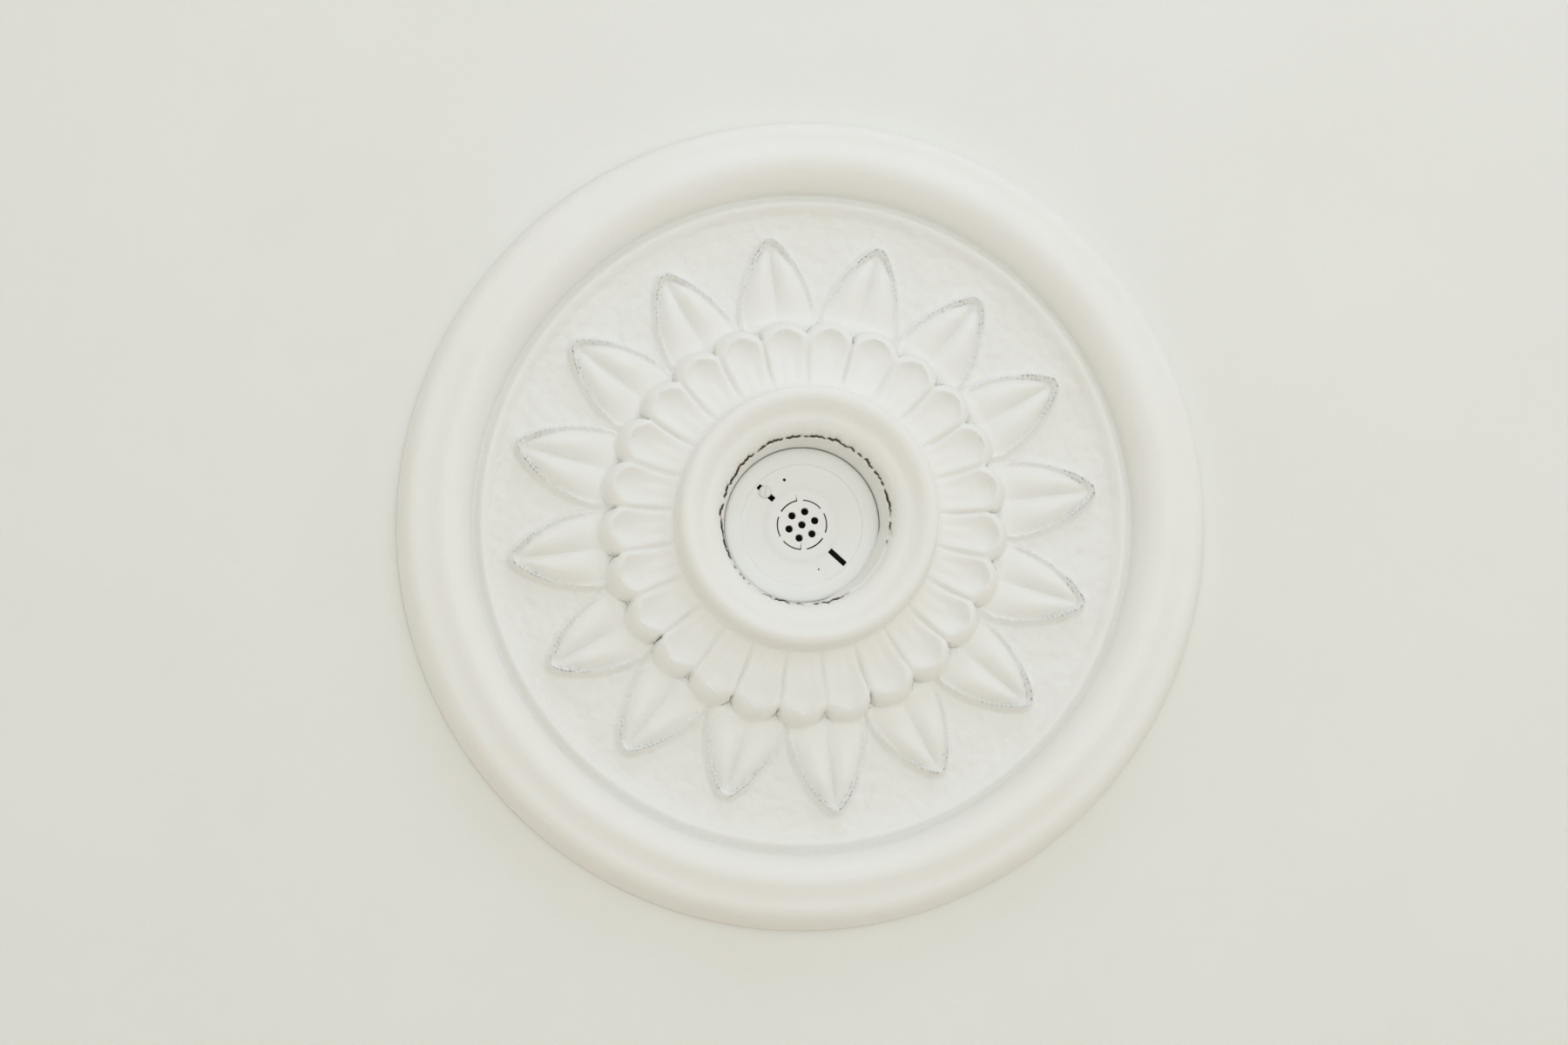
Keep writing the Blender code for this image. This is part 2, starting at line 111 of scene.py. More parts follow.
def deselectAll():
    if bpy.context.mode != "OBJECT":
        bpy.ops.object.mode_set(mode="OBJECT")
    bpy.ops.object.select_all(action="DESELECT")


def finishPiece(obj, look, smoothAngle):
    # Puts the place into the mesh, turns the faces outwards and gives the finish
    deselectAll()
    bpy.context.view_layer.objects.active = obj
    obj.select_set(True)
    bpy.ops.object.transform_apply(location=True, rotation=True, scale=True)
    bpy.ops.object.mode_set(mode="EDIT")
    bpy.ops.mesh.select_all(action="SELECT")
    bpy.ops.mesh.remove_doubles(threshold=0.004 * mm)
    bpy.ops.mesh.normals_make_consistent(inside=False)
    bpy.ops.object.mode_set(mode="OBJECT")
    bpy.ops.object.shade_smooth_by_angle(angle=math.radians(smoothAngle))
    obj.data.materials.clear()
    obj.data.materials.append(look)
    return obj


def lathe(name, profile, columns):
    # Draws a closed profile of (radius, height) points and spins it round the axis
    deselectAll()
    bpy.ops.mesh.primitive_plane_add(size=1 * mm)
    obj = bpy.context.active_object
    obj.name = obj.data.name = name
    bpy.ops.object.mode_set(mode="EDIT")
    bpy.ops.mesh.select_mode(type="VERT")
    bpy.ops.mesh.merge(type="CENTER")
    places = [Vector((0.0, r * mm, -h * mm)) for r, h in profile + profile[:1]]
    bpy.ops.transform.translate(value=places[0])
    for here, there in zip(places, places[1:]):
        bpy.ops.mesh.extrude_region_move(TRANSFORM_OT_translate={"value": there - here})
    bpy.ops.mesh.select_all(action="SELECT")
    bpy.ops.mesh.spin(steps=columns, angle=2 * math.pi, center=(0, 0, 0), axis=(0, 0, 1))
    bpy.ops.mesh.select_all(action="SELECT")
    bpy.ops.mesh.remove_doubles(threshold=0.004 * mm)
    bpy.ops.mesh.dissolve_degenerate(threshold=0.002 * mm)
    bpy.ops.mesh.select_all(action="SELECT")
    bpy.ops.mesh.normals_make_consistent(inside=False)
    bpy.ops.object.mode_set(mode="OBJECT")
    return obj


def applyModifier(obj, modifier):
    bpy.context.view_layer.objects.active = obj
    bpy.ops.object.modifier_apply(modifier=modifier.name)


def curveThrough(points, spacing):
    # A smooth curve through given points, divided evenly
    knots = np.array(points, float)
    knots = np.vstack([2 * knots[0] - knots[1], knots, 2 * knots[-1] - knots[-2]])
    fine = []
    for a, b, c, d in zip(knots, knots[1:], knots[2:], knots[3:]):
        for t in np.linspace(0, 1, 24, endpoint=False):
            fine.append(b + 0.5 * t * (c - a + t * (2 * a - 5 * b + 4 * c - d + t * (3 * (b - c) + d - a))))
    fine = np.array(fine + [knots[-2]])
    run = np.concatenate([[0], np.cumsum(np.hypot(*np.diff(fine, axis=0).T))])
    stops = np.linspace(0, run[-1], max(2, round(run[-1] / spacing) + 1))
    return [(float(np.interp(s, run, fine[:, 0])), float(np.interp(s, run, fine[:, 1]))) for s in stops]


def smooth(low, high, value):
    t = np.clip((value - low) / (high - low), 0, 1)
    return t * t * (3 - 2 * t)


def softMost(a, b, soft):
    return np.maximum(a, b) + soft * np.log1p(np.exp(-np.abs(a - b) / soft))


def softNoise(x, y, cell, seed):
    # Smooth random heights between -1 and 1 on a lattice of this cell size
    table = np.random.default_rng(seed).uniform(-1, 1, (97, 97))
    u, v = x / cell + 4000, y / cell + 4000
    i, j = np.floor(u).astype(int), np.floor(v).astype(int)
    s, t = u - i, v - j
    s, t = s * s * (3 - 2 * s), t * t * (3 - 2 * t)
    rows = [table[(i + a) % 97, j % 97] * (1 - t) + table[(i + a) % 97, (j + 1) % 97] * t for a in (0, 1)]
    return rows[0] * (1 - s) + rows[1] * s


def layered(x, y, layers):
    return sum(softNoise(x, y, cell, seed) * share for cell, seed, share in layers)


# Shader maths


class Number:
    # A socket that can be added, multiplied and so on

    def __init__(self, recipe, socket):
        self.recipe, self.socket = recipe, socket

    def join(self, operation, first, second):
        return self.recipe.number("ShaderNodeMath", {"operation": operation}, {0: first, 1: second})

    def __add__(self, other):
        return self.join("ADD", self, other)

    def __radd__(self, other):
        return self.join("ADD", other, self)

    def __sub__(self, other):
        return self.join("SUBTRACT", self, other)

    def __rsub__(self, other):
        return self.join("SUBTRACT", other, self)

    def __mul__(self, other):
        return self.join("MULTIPLY", self, other)

    def __rmul__(self, other):
        return self.join("MULTIPLY", other, self)


class Recipe:
    # One material and the nodes that make it

    def __init__(self, name):
        self.material = bpy.data.materials.new(name)
        self.material.use_nodes = True
        self.tree = self.material.node_tree
        self.shader = self.tree.nodes["Principled BSDF"]
        self.place = self.node("ShaderNodeTexCoord").outputs["Object"]

    def node(self, kind, settings=None, sockets=None):
        made = self.tree.nodes.new(kind)
        for key, value in (settings or {}).items():
            if key == "stops":
                for spot, (at, shade) in zip(made.color_ramp.elements, value):
                    spot.position, spot.color = at, (shade, shade, shade, 1)
            else:
                setattr(made, key, value)
        for key, value in (sockets or {}).items():
            self.feed(made.inputs[key], value)
        return made

    def number(self, kind, settings=None, sockets=None, output=0):
        return Number(self, self.node(kind, settings, sockets).outputs[output])

    def feed(self, socket, value):
        if isinstance(value, Number):
            value = value.socket
        if isinstance(value, bpy.types.NodeSocket):
            self.tree.links.new(value, socket)
        else:
            socket.default_value = value

    def noise(self, scale, detail, roughness):
        sockets = {"Vector": self.place, "Scale": scale, "Detail": detail, "Roughness": roughness}
        return self.number("ShaderNodeTexNoise", sockets=sockets)

    def mix(self, share, first, second):
        made = self.node("ShaderNodeMix", {"data_type": "RGBA"}, {"Factor": share})
        self.feed(made.inputs[6], first)
        self.feed(made.inputs[7], second)
        return made.outputs[2]

    def ramp(self, value, low, high):
        stops = [(low, 0.0), (high, 1.0)]
        return self.number("ShaderNodeValToRGB", {"stops": stops}, {"Fac": value})

    def attribute(self, name):
        return self.number("ShaderNodeAttribute", {"attribute_name": name}, output="Fac")

    def bump(self, height, depth, strength, under=None):
        sockets = {"Height": height, "Distance": depth, "Strength": strength}
        if under:
            sockets["Normal"] = under
        return self.node("ShaderNodeBump", sockets=sockets).outputs["Normal"]

    def finish(self, colour, roughness, normal=None):
        self.feed(self.shader.inputs["Base Color"], colour)
        self.feed(self.shader.inputs["Roughness"], roughness)
        if normal:
            self.feed(self.shader.inputs["Normal"], normal)
        return self.material


paint = {
    "clean": (0.890, 0.894, 0.862, 1),
    "worn": (0.876, 0.873, 0.828, 1),
    # Near-black for the crack: dirt in the torn paint together with painted shade of its groove
    "dirtAndShade": (0.175, 0.145, 0.105, 1),
    # A beige for painted shade in the field's pits and for a fringe along the crack
    "shadeBeige": (0.640, 0.610, 0.530, 1),
    "roughness": 0.62,
}
plastic = {"clean": (0.880, 0.884, 0.855, 1), "worn": (0.865, 0.866, 0.830, 1), "roughness": 0.42}
metal = {"clean": (0.88, 0.88, 0.85, 1), "worn": (0.80, 0.79, 0.74, 1), "roughness": 0.45}


def paintedPlaster():
    recipe = Recipe("paintedPlaster")
    clouds = recipe.noise(9.0, 4.0, 0.55)
    brush = recipe.noise(260.0, 3.0, 0.6)
    coat = recipe.noise(75.0, 2.0, 0.5)
    pits = recipe.noise(310.0, 4.0, 0.65)
    field = recipe.attribute("field")
    crack = recipe.attribute("crack")
    ragged = recipe.noise(1500.0, 2.0, 0.6)
    colour = recipe.mix(recipe.ramp(clouds, 0.35, 0.72), paint["clean"], paint["worn"])
    # Painted shade: the bumped pits of the rough field are darkened slightly toward the beige
    pitShade = field * recipe.ramp(pits, 0.62, 0.40) * 0.05
    colour = recipe.mix(pitShade, colour, paint["shadeBeige"])
    # A beige fringe along the crack: dirt in the torn paint together with painted shade
    crackFringe = recipe.ramp(crack + (ragged - 0.5) * 0.35, 0.10, 0.42)
    colour = recipe.mix(crackFringe * 0.5, colour, paint["shadeBeige"])
    # The dark line of the crack: dirt in the torn paint together with painted shade of its groove
    crackDirtAndShade = recipe.ramp(crack + (ragged - 0.5) * 0.45, 0.42, 0.70)
    colour = recipe.mix(crackDirtAndShade, colour, paint["dirtAndShade"])
    roughness = paint["roughness"] + (clouds - 0.5) * 0.18 + field * 0.12 + crackDirtAndShade * 0.2
    normal = recipe.bump(coat, 0.5 * mm, 0.55)
    normal = recipe.bump(brush, 0.16 * mm, 0.5, normal)
    normal = recipe.bump(pits * field, 0.7 * mm, 0.7, normal)
    return recipe.finish(colour, roughness, normal)


def satinPlastic():
    recipe = Recipe("whitePlastic")
    clouds = recipe.noise(30.0, 3.0, 0.5)
    skin = recipe.noise(420.0, 2.0, 0.5)
    colour = recipe.mix(recipe.ramp(clouds, 0.35, 0.75), plastic["clean"], plastic["worn"])
    roughness = plastic["roughness"] + (clouds - 0.5) * 0.15
    return recipe.finish(colour, roughness, recipe.bump(skin, 0.08 * mm, 0.4))


def paintedMetal():
    recipe = Recipe("paintedMetal")
    clouds = recipe.noise(160.0, 3.0, 0.6)
    thick = recipe.noise(600.0, 2.0, 0.5)
    colour = recipe.mix(recipe.ramp(clouds, 0.3, 0.8), metal["clean"], metal["worn"])
    roughness = metal["roughness"] + (clouds - 0.5) * 0.2
    return recipe.finish(colour, roughness, recipe.bump(thick, 0.25 * mm, 0.6))


# Rose


def roseProfile():
    # From the back face round to the opening and out again over the relief
    spacing = rose["spacing"]
    profile = list(rose["back"]) + curveThrough(rose["wall"], spacing["wall"]) + list(rose["crack"])
    profile += curveThrough(rose["lip"], spacing["lip"])[:-1]
    profile += curveThrough(rose["roll"], spacing["roll"])[:-1]
    first, last = rose["under"][0][0], rose["under"][-1][0]
    steps = round((last - first) / rose["carvedSpacing"])
    radii = [first + (last - first) * i / steps for i in range(steps)]
    profile += [(r, float(h)) for r, h in zip(radii, np.interp(radii, *zip(*rose["under"])))]
    profile += curveThrough(rose["fillet"], spacing["fillet"])[:-1]
    profile += curveThrough(rose["rim"], spacing["rim"]) + list(rose["edge"])
    return profile


def leafRise(r, turn):
    # How far the leaves stand up from the field, and how deep inside a leaf each point lies
    sector = 360 / leaf["count"]
    number = np.round((turn - leaf["first"]) / sector)
    off = np.abs(turn - leaf["first"] - number * sector)
    rng = np.random.default_rng(rose["seed"])
    higher = 1 + rng.uniform(-leaf["uneven"], leaf["uneven"], leaf["count"])
    number = number.astype(int) % leaf["count"]
    tip, lift = np.array(leaf["tips"])[number], higher[number]
    across = r * np.sin(np.radians(off))
    half, taper = leaf["width"] / 2, leaf["taper"]
    bow = (taper ** 2 + half ** 2) / (2 * half)
    back = taper - np.clip(tip - r, 0, taper)
    root = np.sqrt(bow ** 2 - back ** 2)
    share = 1 - leaf["tipWidth"] / leaf["width"]
    side = np.minimum(leaf["tipWidth"] / 2 + (root - bow + half) * share, r * math.sin(math.pi / leaf["count"]))
    slant = np.sqrt(1 + (back / root * share) ** 2)
    inward = -softMost(-(side - across) / slant, -(tip - r), leaf["soft"])
    middle = -softMost(-side / slant, -(tip - r), leaf["soft"])
    rim = leaf["rimRoot"] + (leaf["rimRise"] - leaf["rimRoot"]) * smooth(*leaf["rimGrows"], r)
    rim = rim + (leaf["rimTip"] - leaf["rimRise"]) * smooth(*leaf["rimPeaks"], r)
    width = leaf["rimWidth"]
    dip = np.maximum(rim - leaf["grooveRise"], 0) * smooth(width * 0.75, width * 0.75 + leaf["rimFall"], inward)
    rise = rim * smooth(-0.6, width, inward) - dip
    room = np.maximum(middle - leaf["groove"], 0.01)
    t = np.clip((inward - leaf["groove"]) / room, 0, 1)
    full = leaf["lobeRoot"] + (leaf["lobeRise"] - leaf["lobeRoot"]) * smooth(*leaf["lobeGrows"], r)
    full = np.minimum(full, room * leaf["lobeSlope"])
    pillow = (1 - (1 - t) ** 2.4) ** 0.8
    vein = leaf["vein"] * np.clip((t - leaf["veinFrom"]) / (1 - leaf["veinFrom"]), 0, 1) ** 1.9
    return (rise + full * (pillow - vein)) * lift, inward


def petalHeight(r, turn):
    # Each petal is a spoon: a round raised rim, a hollow inside it and a steep fall outside it
    sector = 360 / petal["count"]
    number = np.round((turn - petal["first"]) / sector)
    off = np.abs(turn - petal["first"] - number * sector)
    rng = np.random.default_rng(rose["seed"] + 1)
    longer = rng.uniform(-1, 1, petal["count"]) * petal["uneven"]
    higher = rng.uniform(-1, 1, petal["count"]) * petal["uneven"]
    number = number.astype(int) % petal["count"]
    tip, lift = petal["tip"] + longer[number], higher[number]
    across = r * np.sin(np.radians(off))
    half = r * math.sin(math.pi / petal["count"])
    along = (r - tip + petal["tipRound"]) / petal["tipRound"]
    s = np.sqrt((across / half) ** 2 + np.clip(along, 0, None) ** petal["roundness"])
    rimAt = petal["sideRim"] + (petal["tipRim"] - petal["sideRim"]) * smooth(*petal["narrows"], along)
    top = curveHeight(petal["rim"], r) + lift * smooth(90, 112, r)
    bowl = curveHeight(petal["bowl"], r) * (1 - np.clip(s / rimAt, 0, 1) ** 1.9)
    drop = petal["sideDrop"] + (top - petal["floor"] - petal["sideDrop"]) * smooth(*petal["deepens"], r)
    outside = np.clip((s - rimAt) / (1 - rimAt), 0, 1)
    slope = outside ** petal["slope"]
    lip = 0.45 * outside + 0.55 * (1 - np.sqrt(1 - outside ** petal["roundness"]))
    fall = slope + (lip - slope) * smooth(*petal["rounds"], r)
    flutes = petal["flute"] * np.cos(3 * np.pi * across / half)
    flutes = flutes * smooth(*petal["flutesBegin"], r) * (1 - smooth(*petal["flutesEnd"], r))
    height = top - bowl - drop * fall + flutes
    nowhere = -50.0
    return np.where(s < 1, height, nowhere)


def curveHeight(points, r):
    # Height at a radius on a smooth curve through given points
    at, height = np.array(curveThrough(points, 1.0)).T
    return np.interp(r, at, height)


def roundNoise(turn, layers):
    # Noise that runs round the opening
    angle = np.radians(turn)
    reach = rose["crack"][0][0]
    return layered(np.cos(angle) * reach, np.sin(angle) * reach, layers)


def shapeRose(obj):
    mesh = obj.data
    co = np.empty(len(mesh.vertices) * 3)
    mesh.vertices.foreach_get("co", co)
    co = co.reshape(-1, 3) / mm
    x, y = co[:, 0], co[:, 1]
    r = np.hypot(x, y)
    turn = np.degrees(np.arctan2(-x, y)) % 360
    h = -co[:, 2]
    front = h > rose["frontFrom"]
    carved = front & (r > rose["carved"][0]) & (r < rose["carved"][1])
    rise, inward = leafRise(r, turn)
    leafy = h + rise * smooth(120, 128, r) * (r < 186)
    formed = softMost(leafy, petalHeight(r, turn), petal["soft"]) - petal["soft"] * 0.3
    formed = np.where(carved, formed, h)

    # Rough field between the leaves and the outer mouldings
    field = (1 - smooth(-0.5, 1.5, inward)) * smooth(127, 133, r) * (1 - smooth(196, 201, r)) * front
    formed = formed + field * rose["pits"] * layered(x, y, rose["lumps"])

    # Hand-made unevenness all over the relief
    waves = layered(x, y, rose["waves"])
    formed = formed + rose["uneven"] * waves * smooth(54, 60, r) * front * (1 - smooth(248, 255, r))
    wander = layered(x, y, rose["wander"]) * smooth(80, 120, r) * (1 - smooth(245, 254, r)) * front

    # Broken paint round the opening
    (innerR, innerH), (leftR, _), (rightR, _), (outerR, outerH) = rose["crack"]
    strength = np.interp(turn, *zip(*cracks))
    atCrack = (h > innerH - 0.4) & (h < outerH + 0.4) & (r < 60)
    torn = roundNoise(turn, rose["tear"])
    chips = smooth(0.30, 0.75, roundNoise(turn, [(3.6, 43, 1)])) * np.interp(turn, [66, 70, 98, 104], [0, 1, 1, 0])
    gape = np.clip(strength * (0.95 + roundNoise(turn, [(2.2, 44, 0.8)])), 0, 1.1)
    floor = atCrack & (r > leftR - 0.2) & (r < rightR + 0.2)
    formed = formed - floor * gape * rose["crackDepth"]
    nearRim = smooth(innerR - 0.5, innerR, r) * (1 - smooth(outerR, outerR + 3, r)) * (h > innerH - 2)
    shift = nearRim * torn * rose["tearReach"] * np.clip(strength, 0.15, 1)
    shift = shift + (atCrack & (r > rightR - 0.2)) * (gape * rose["gapeReach"] + chips * rose["chipReach"])

    # Filler that closes the gap beside the plate
    filled = np.interp(turn, [92, 108, 150, 162], [0, 1, 1, 0]) * (0.85 + roundNoise(turn, [(6.0, 45, 0.15)]))
    wall = front & (r < innerR + 0.3) & (h < innerH + 1)
    shift = shift - wall * filled * rose["fillerReach"] * (1 - smooth(9, innerH, h))

    # Strength of the dark crack colour: dirt together with painted shade of the groove
    crack = np.where(floor, gape, np.where(atCrack, 0.16 * strength, 0.0))
    angle = np.radians(turn)
    r = r + wander + shift
    co = np.column_stack([-r * np.sin(angle), r * np.cos(angle), -np.maximum(formed, 0.0)]) * mm
    mesh.vertices.foreach_set("co", co.ravel())
    for name, values in (("field", field), ("crack", crack)):
        kept = mesh.attributes.new(name, "FLOAT", "POINT")
        kept.data.foreach_set("value", values.astype(np.float32))
    mesh.update()


def thinOut(obj, most):
    # Drops the triangles that the flat parts don't need
    count = sum(len(p.vertices) - 2 for p in obj.data.polygons)
    if count > most:
        thin = obj.modifiers.new("thinOut", "DECIMATE")
        thin.ratio = most / count
        applyModifier(obj, thin)


profile = roseProfile()
plasterRose = lathe("plasterRose", profile, rose["columns"])
shapeRose(plasterRose)
thinOut(plasterRose, rose["triangles"])
finishPiece(plasterRose, paintedPlaster(), 70)
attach(plasterRose, "root")
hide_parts("rose")
print("rose:", len(profile), "rows,", sum(len(p.vertices) - 2 for p in plasterRose.data.polygons), "triangles")


# Cover plate

plate = {
    "columns": 160, "faceSpacing": 0.8, "bandSpacing": 1.0,
    "face": [(20.2, 9.9), (21.6, 9.75), (23.4, 9.2), (25.2, 8.78), (27.0, 8.7), (36.8, 8.7), (37.6, 8.8),
             (38.2, 9.3), (38.9, 9.62), (40.2, 9.65)],
    "band": [(40.2, 9.65), (43.5, 9.6), (46.4, 9.35), (48.0, 8.9), (48.8, 8.0), (49.0, 6.4), (49.0, 3.7)],
    "back": [(48.8, 3.35), (47.9, 3.3), (47.5, 3.5), (47.1, 4.9), (45.4, 6.5), (42.4, 7.5), (38.4, 7.6),
             (37.4, 7.1), (20.0, 7.1), (0.0, 7.1)],
    "holeRadius": 2.4, "holeRing": 8.5, "holes": 6, "firstHole": 12.0,
    "arcRadius": 15.5, "arcWidth": 0.9, "arcSpan": 46.5,
    "slotFrom": 23.7, "slotLength": 13.2, "slotWidth": 3.6, "slotTurns": (132.0, 312.0),
    "slotRound": 0.35,
    # Each as (turn, radius, its own radius)
    "pinholes": [(339.0, 30.6, 1.0), (159.0, 29.9, 0.6)],
    "edge": 0.22, "cutAt": 10.0, "cutDepth": 16.0,
}


def spot(radius, turn, height=0.0):
    angle = math.radians(turn)
    return Vector((-radius * math.sin(angle), radius * math.cos(angle), -height)) * mm


def roundCutter(turn, radius, holeRadius):
    bpy.ops.mesh.primitive_cylinder_add(vertices=32, radius=holeRadius * mm, depth=plate["cutDepth"] * mm,
                                        location=spot(radius, turn, plate["cutAt"]))
    return bpy.context.active_object


def slotCutter(turn):
    centre = plate["slotFrom"] + plate["slotLength"] / 2
    bpy.ops.mesh.primitive_cube_add(size=1, location=spot(centre, turn, plate["cutAt"]),
                                    rotation=(0, 0, math.radians(turn)))
    made = bpy.context.active_object
    made.scale = (plate["slotWidth"] * mm, plate["slotLength"] * mm, plate["cutDepth"] * mm)
    bpy.ops.object.transform_apply(location=True, rotation=True, scale=True)
    bpy.ops.object.mode_set(mode="EDIT")
    bpy.ops.mesh.bevel(offset=plate["slotRound"] * mm, segments=2)
    bpy.ops.object.mode_set(mode="OBJECT")
    return made


def arcCutter(turn):
    bpy.ops.mesh.primitive_plane_add(size=1, location=(0, plate["arcRadius"] * mm, -plate["cutAt"] * mm),
                                     rotation=(0, math.pi / 2, 0))
    made = bpy.context.active_object
    made.scale = (plate["cutDepth"] * mm, plate["arcWidth"] * mm, 1)
    bpy.ops.object.transform_apply(location=True, rotation=True, scale=True)
    made.rotation_euler.z = math.radians(turn - plate["arcSpan"] / 2)
    bpy.ops.object.transform_apply(location=True, rotation=True, scale=True)
    bpy.ops.object.mode_set(mode="EDIT")
    bpy.ops.mesh.select_all(action="SELECT")
    bpy.ops.mesh.spin(steps=14, angle=math.radians(plate["arcSpan"]), center=(0, 0, 0), axis=(0, 0, 1))
    bpy.ops.mesh.select_all(action="SELECT")
    bpy.ops.mesh.normals_make_consistent(inside=False)
    bpy.ops.object.mode_set(mode="OBJECT")
    return made


def makeCoverPlate(look):
    points = [(0.0, plate["face"][0][1])] + curveThrough(plate["face"], plate["faceSpacing"])
    points += curveThrough(plate["band"], plate["bandSpacing"])[1:] + plate["back"]
    obj = lathe("coverPlate", points, plate["columns"])
    deselectAll()
    cutters = [roundCutter(0, 0, plate["holeRadius"])]
    for i in range(plate["holes"]):
        turn = plate["firstHole"] + 360 / plate["holes"] * i
        cutters += [roundCutter(turn, plate["holeRing"], plate["holeRadius"]), arcCutter(turn)]
    cutters += [slotCutter(turn) for turn in plate["slotTurns"]]
    cutters += [roundCutter(turn, r, size) for turn, r, size in plate["pinholes"]]
    deselectAll()
    for cutter in cutters:
        cutter.select_set(True)
    bpy.context.view_layer.objects.active = cutters[0]
    bpy.ops.object.transform_apply(location=True, rotation=True, scale=True)
    bpy.ops.object.join()
    cutter = bpy.context.active_object
    boolean = obj.modifiers.new("holes", "BOOLEAN")
    boolean.object, boolean.operation, boolean.solver = cutter, "DIFFERENCE", "EXACT"
    applyModifier(obj, boolean)
    bpy.data.objects.remove(cutter)
    bevel = obj.modifiers.new("softEdges", "BEVEL")
    bevel.width, bevel.segments, bevel.limit_method = plate["edge"] * mm, 2, "ANGLE"
    bevel.angle_limit, bevel.use_clamp_overlap = math.radians(55), True
    applyModifier(obj, bevel)
    return finishPiece(obj, look, 40)


coverPlate = makeCoverPlate(satinPlastic())
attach(coverPlate, "root")
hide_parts("cover_plate")
print("cover plate:", len(coverPlate.data.polygons), "faces")


# Screw

screw = {
    "columns": 48, "ring": 31.2, "turn": 312.0,
    "headRise": 1.9, "seat": 9.0, "shank": 1.4, "shankEnd": 0.5,
    # The head's dome as (radius, drop from its top), then its side as (radius, height over the seat)
    "dome": [(0.0, 0.0), (1.6, 0.12), (2.8, 0.5), (3.6, 1.0)], "side": [(3.95, 0.35), (3.9, 0.0)],
    "slotWidth": 0.8, "slotLength": 10.0, "slotDepth": 0.9, "slotTurn": 8.0, "edge": 0.12,
}


def makeScrew(look):
    seat, shank, shankEnd = screw["seat"], screw["shank"], screw["shankEnd"]
    top = seat + screw["headRise"]
    head = [(r, top - drop) for r, drop in screw["dome"]] + [(r, seat + h) for r, h in screw["side"]]
    points = curveThrough(head, 0.35) + [(shank, seat), (shank, shankEnd), (0.0, shankEnd)]
    obj = lathe("plateScrew", points, screw["columns"])
    deselectAll()
    bpy.ops.mesh.primitive_cube_add(size=1, location=(0, 0, -top * mm),
                                    rotation=(0, 0, math.radians(screw["slotTurn"])))
    cutter = bpy.context.active_object
    cutter.scale = (screw["slotWidth"] * mm, screw["slotLength"] * mm, 2 * screw["slotDepth"] * mm)
    boolean = obj.modifiers.new("driveSlot", "BOOLEAN")
    boolean.object, boolean.operation, boolean.solver = cutter, "DIFFERENCE", "EXACT"
    applyModifier(obj, boolean)
    bpy.data.objects.remove(cutter)
    bevel = obj.modifiers.new("softEdges", "BEVEL")
    bevel.width, bevel.segments, bevel.limit_method = screw["edge"] * mm, 2, "ANGLE"
    bevel.angle_limit = math.radians(50)
    applyModifier(obj, bevel)
    obj.location = spot(screw["ring"], screw["turn"])
    return finishPiece(obj, look, 40)


plateScrew = makeScrew(paintedMetal())
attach(plateScrew, "root")
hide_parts("plate_screw")
print("screw:", len(plateScrew.data.polygons), "faces")


# Ceiling, floor, light and camera

stage = {
    "ceilingHole": 0.250, "ceilingReach": 4.0, "ceilingGap": 0.0004,
    "ceilingColour": (0.858, 0.863, 0.822, 1), "ceilingWorn": (0.84513, 0.847466, 0.798984, 1),
    # The near-black disc over the opening is painted shade
    "shadeDiscRadius": 0.047, "shadeDiscColour": (0.035, 0.032, 0.024, 1),
    "floorDepth": 2.6, "floorWidth": 12.0, "floorColour": (0.74, 0.73, 0.70, 1),
    "worldColour": (1.0, 0.90, 0.775, 1), "worldStrength": 0.785,
    "windowPlace": (-0.2, 1.5, -0.75), "windowSize": 0.9, "windowPower": 4.3, "windowColour": (0.55, 0.70, 1.0),
    "floorPlace": (-0.25, 0.15, -2.4), "floorSize": 3.2, "floorPower": 24.2, "floorLight": (0.87, 0.93, 1.0),
    "sidePlaces": ((-2.0, 0.3, -1.0), (2.0, 0.3, -1.0)), "sideSize": 1.2, "sidePower": 2.9,
    "sideColour": (0.62, 0.84, 1.0),
}


def oneSided(recipe):
    # Seen from above it lets the view through
    tree = recipe.tree
    behind = recipe.node("ShaderNodeNewGeometry").outputs["Backfacing"]
    clear = recipe.node("ShaderNodeBsdfTransparent").outputs[0]
    join = recipe.node("ShaderNodeMixShader", sockets={0: behind, 2: clear})
    tree.links.new(recipe.shader.outputs[0], join.inputs[1])
    tree.links.new(join.outputs[0], tree.nodes["Material Output"].inputs["Surface"])


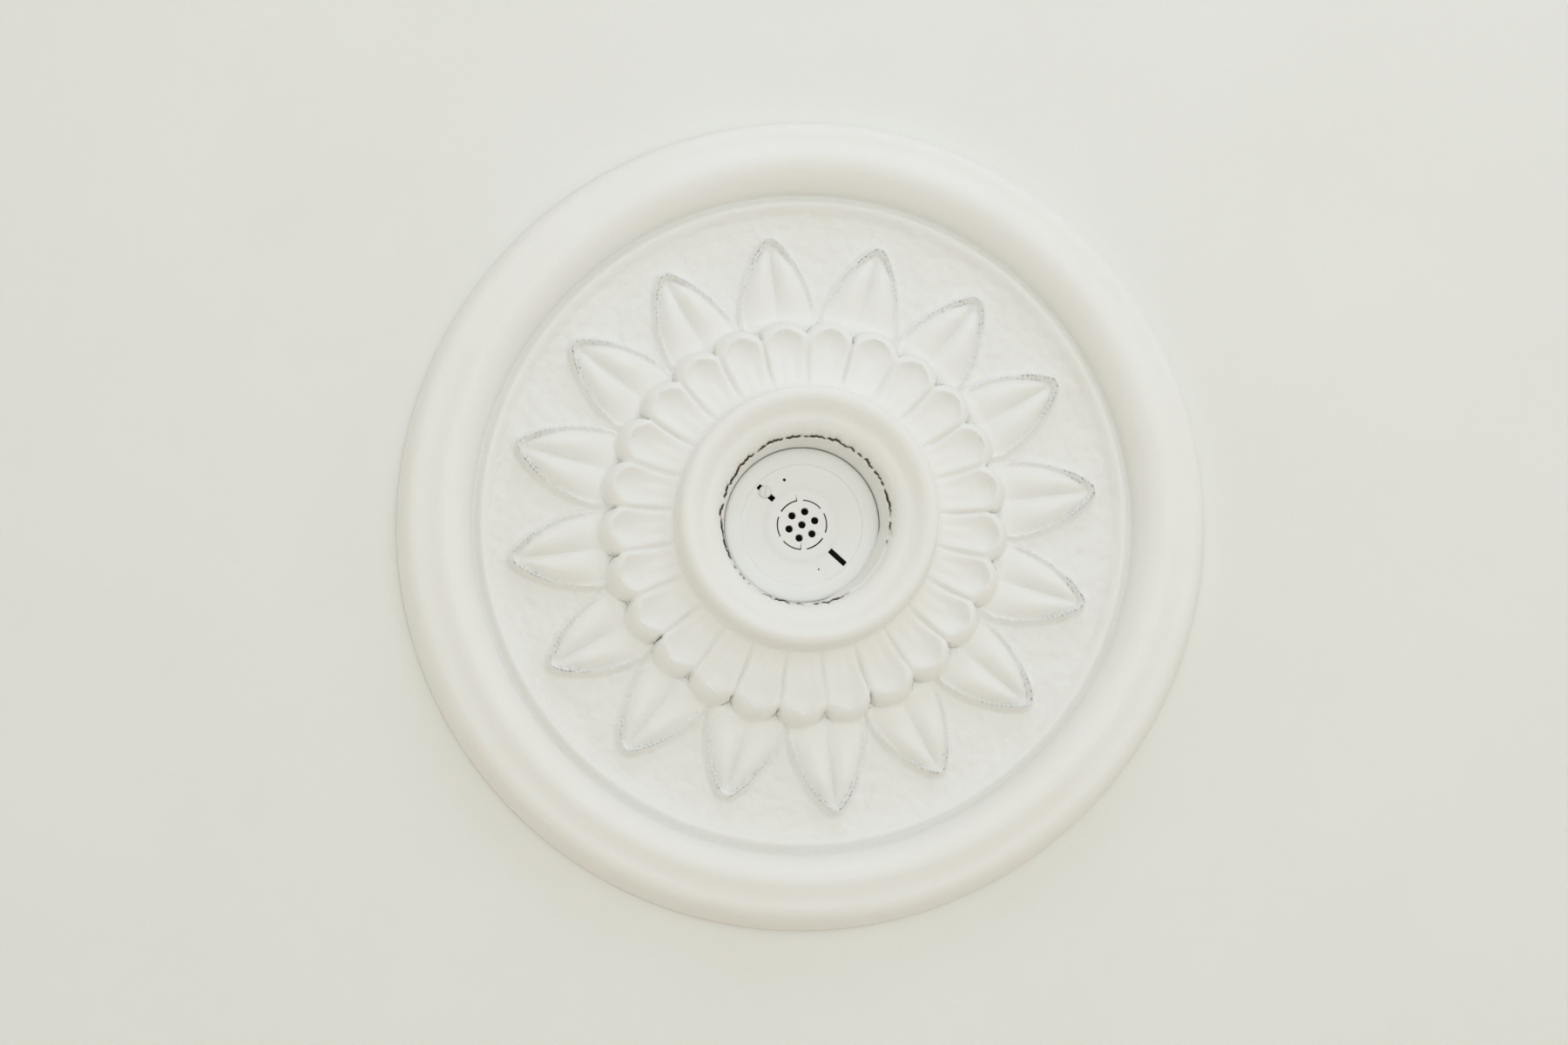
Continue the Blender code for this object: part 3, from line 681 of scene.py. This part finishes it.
def makeStage():
    recipe = Recipe("ceilingPaint")
    clouds = recipe.noise(7.0, 4.0, 0.6)
    roller = recipe.noise(300.0, 3.0, 0.6)
    colour = recipe.mix(recipe.ramp(clouds, 0.35, 0.7), stage["ceilingColour"], stage["ceilingWorn"])
    recipe.finish(colour, 0.7, recipe.bump(roller, 0.1 * mm, 0.5))
    oneSided(recipe)
    deselectAll()
    bpy.ops.mesh.primitive_circle_add(vertices=192, radius=stage["ceilingHole"],
                                      location=(0, 0, stage["ceilingGap"]))
    ceiling = bpy.context.active_object
    ceiling.name = "ceiling"
    bpy.ops.object.mode_set(mode="EDIT")
    bpy.ops.mesh.select_all(action="SELECT")
    grow = stage["ceilingReach"] / stage["ceilingHole"]
    bpy.ops.mesh.extrude_region_move()
    bpy.ops.transform.resize(value=(grow, grow, 1))
    bpy.ops.object.mode_set(mode="OBJECT")
    bpy.ops.object.transform_apply(location=True)
    ceiling.data.materials.append(recipe.material)
    faceDown(ceiling)

    # Painted shade: a near-black one-sided disc over the opening stands in for the shade of the cavity behind the
    # plate's holes
    dark = Recipe("paintedShadeBehind")
    dark.finish(stage["shadeDiscColour"], 0.9)
    oneSided(dark)
    deselectAll()
    bpy.ops.mesh.primitive_circle_add(vertices=64, radius=stage["shadeDiscRadius"], fill_type="NGON",
                                      location=(0, 0, stage["ceilingGap"]))
    shadeDisc = bpy.context.active_object
    shadeDisc.name = "paintedShadeBehind"
    bpy.ops.object.transform_apply(location=True)
    shadeDisc.data.materials.append(dark.material)
    faceDown(shadeDisc)

    ground = Recipe("floorPaint")
    ground.finish(stage["floorColour"], 0.8)
    deselectAll()
    bpy.ops.mesh.primitive_plane_add(size=stage["floorWidth"], location=(0, 0, -stage["floorDepth"]))
    floor = bpy.context.active_object
    floor.name = "floor"
    bpy.ops.object.transform_apply(location=True)
    floor.data.materials.append(ground.material)


def faceDown(obj):
    # The pale side looks down at the room
    if obj.data.polygons[0].normal.z > 0:
        obj.data.flip_normals()


def makeLamp(name, place, size, power, colour):
    deselectAll()
    bpy.ops.object.light_add(type="AREA", location=place)
    lamp = bpy.context.active_object
    lamp.name = name
    lamp.visible_camera = False
    lamp.data.shape, lamp.data.size, lamp.data.energy, lamp.data.color = "DISK", size, power, colour
    lamp.rotation_euler = (-lamp.location).to_track_quat("-Z", "Y").to_euler()


def makeLight():
    world = bpy.data.worlds.new("room")
    bpy.context.scene.world = world
    world.use_nodes = True
    sky = world.node_tree.nodes["Background"]
    sky.inputs["Color"].default_value = stage["worldColour"]
    sky.inputs["Strength"].default_value = stage["worldStrength"]
    makeLamp("window", stage["windowPlace"], stage["windowSize"], stage["windowPower"], stage["windowColour"])
    makeLamp("fromFloor", stage["floorPlace"], stage["floorSize"], stage["floorPower"], stage["floorLight"])
    for place in stage["sidePlaces"]:
        makeLamp("side", place, stage["sideSize"], stage["sidePower"], stage["sideColour"])


# It looks straight up from beside the rose, as the round mouldings show no slant
camera = {
    "place": (0.200, -0.250, -1.414), "shift": (0.1909, 0.2544), "lens": 51.15, "sensor": 36.0,
    "clip": (0.05, 50.0), "axes": ((-1, 0, 0), (0, 1, 0), (0, 0, -1)),
}


def makeCamera():
    data = bpy.data.cameras.new("camera")
    data.lens, data.sensor_width, data.sensor_fit = camera["lens"], camera["sensor"], "HORIZONTAL"
    data.clip_start, data.clip_end = camera["clip"]
    data.shift_x, data.shift_y = camera["shift"]
    made = bpy.data.objects.new("camera", data)
    bpy.context.scene.collection.objects.link(made)
    made.matrix_world = Matrix.Translation(camera["place"]) @ Matrix(camera["axes"]).to_4x4()
    bpy.context.scene.camera = made


makeStage()
makeLight()
makeCamera()
bpy.context.scene.view_settings.view_transform = "Standard"
bpy.context.scene.view_settings.look = "None"
print("stage, light and camera are set")
